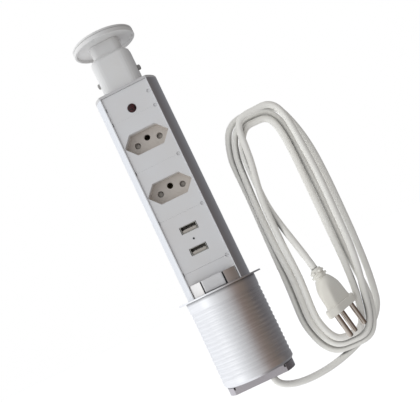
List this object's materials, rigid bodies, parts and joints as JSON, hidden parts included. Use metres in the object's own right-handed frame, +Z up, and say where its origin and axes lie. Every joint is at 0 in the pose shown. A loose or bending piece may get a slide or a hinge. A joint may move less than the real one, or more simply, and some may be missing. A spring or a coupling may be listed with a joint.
{
  "type": "pull-up desk power tower",
  "caption": "Round pull-up power column in a ribbed desk sleeve, with sockets and charging ports on its flat face, a grip cap and a corded plug.",
  "frame": {"origin": "on the column's axis, at the desk top under the sleeve's flange", "axes": "+Z up along the column, -Y out of the socket face, +X to the right of someone facing the sockets"},
  "size_m": [0.1516, 0.0696, 0.3148],
  "materials": {
    "sleeve_aluminium": "satin turned, fine ribs",
    "guide_plastic": "moulded nylon",
    "column_aluminium": "satin anodised extrusion",
    "bright_aluminium": "satin",
    "cap_plastic": "moulded, fine grain",
    "front_plastic": "moulded, light grey, semi-matt",
    "grip_plastic": "moulded, light grey, fine grain",
    "steel": "zinc plated",
    "spring_steel": "drawn wire",
    "nickel_shell": "nickel plated sheet",
    "pin_nickel": "nickel plated brass",
    "red_lens": "clear dark red",
    "shutter_plastic": "moulded white",
    "brass": "rolled strip",
    "light_pipe": "clear",
    "board_green": "solder mask",
    "coil_wrap": "tape wrapped",
    "capacitor_sleeve": "shrink sleeve",
    "wire_brown": "insulation",
    "wire_blue": "insulation",
    "wire_green": "insulation",
    "button_grey": "moulded",
    "grommet_grey": "moulded",
    "cord_pvc": "soft PVC, ivory grey"
  },
  "bodies": {
    "sleeve": {"desk_sleeve": "sleeve_aluminium", "upper_guide_ring": "guide_plastic", "lower_guide_ring": "guide_plastic"},
    "column": {"extrusion": "column_aluminium", "top_cap": "cap_plastic", "top_cap_screws": "steel", "bottom_cap": "bright_aluminium", "bottom_cap_screws": "steel", "cord_grommet": "grommet_grey", "indicator_plate": "front_plastic", "indicator_lens": "red_lens", "indicator_lamp": "red_lens", "lamp_holder": "guide_plastic", "upper_socket": "front_plastic", "lower_socket": "front_plastic", "upper_shutter_spring": "spring_steel", "lower_shutter_spring": "spring_steel", "upper_contact_carrier": "guide_plastic", "lower_contact_carrier": "guide_plastic", "line_bar": "brass", "neutral_bar": "brass", "earth_bar": "brass", "usb_plate": "front_plastic", "usb_shells": "nickel_shell", "usb_tongues": "shutter_plastic", "usb_contacts": "nickel_shell", "status_light_pipe": "light_pipe", "usb_board": "board_green", "usb_board_screws": "steel", "usb_transformer": "coil_wrap", "usb_capacitors": "capacitor_sleeve", "foot_plate": "front_plastic", "foot_shell": "bright_aluminium", "latch_guide": "guide_plastic", "latch_spring": "spring_steel", "lower_panel": "front_plastic", "terminal_block": "shutter_plastic", "terminal_screws": "steel", "cord_clamp": "guide_plastic", "line_wire": "wire_brown", "neutral_wire": "wire_blue", "earth_wire": "wire_green", "neck": "grip_plastic", "neck_screws": "steel", "grip_stem": "grip_plastic", "button_spring": "spring_steel", "cap_base": "grip_plastic", "cap_cover": "grip_plastic", "cap_screws": "steel", "cord": "cord_pvc", "plug_body": "cord_pvc", "plug_boot": "cord_pvc", "plug_pins": "pin_nickel"},
    "left_snap": {"left_button": "button_grey"},
    "right_snap": {"right_button": "button_grey"},
    "latch": {"latch_button": "front_plastic"},
    "shutter_high": {"upper_shutter": "shutter_plastic"},
    "shutter_low": {"lower_shutter": "shutter_plastic"}
  },
  "joints": [
    {"name": "column_slide", "type": "slide", "parent": "sleeve", "child": "column", "axis": [0, 0, 1], "range_m": [-0.2192, 0]},
    {"name": "left_button_press", "type": "slide", "parent": "column", "child": "left_snap", "axis": [1, 0, 0], "range_m": [0, 0.0055], "stiffness_N_per_m": 40, "springref_m": -0.006, "deforming": ["button_spring"]},
    {"name": "right_button_press", "type": "slide", "parent": "column", "child": "right_snap", "axis": [-1, 0, 0], "range_m": [0, 0.0055]},
    {"name": "latch_press", "type": "slide", "parent": "column", "child": "latch", "axis": [0, 1, 0], "range_m": [0, 0.0022], "stiffness_N_per_m": 120, "springref_m": -0.004, "deforming": ["latch_spring"]},
    {"name": "upper_shutter_slide", "type": "slide", "parent": "column", "child": "shutter_high", "axis": [1, 0, 0], "range_m": [0, 0.0052], "stiffness_N_per_m": 20, "springref_m": -0.004, "deforming": ["upper_shutter_spring"]},
    {"name": "lower_shutter_slide", "type": "slide", "parent": "column", "child": "shutter_low", "axis": [1, 0, 0], "range_m": [0, 0.0052], "stiffness_N_per_m": 20, "springref_m": -0.004, "deforming": ["lower_shutter_spring"]}
  ],
  "couplings": [
    {"joint": "right_button_press", "follows": "left_button_press", "ratio": 1}
  ]
}
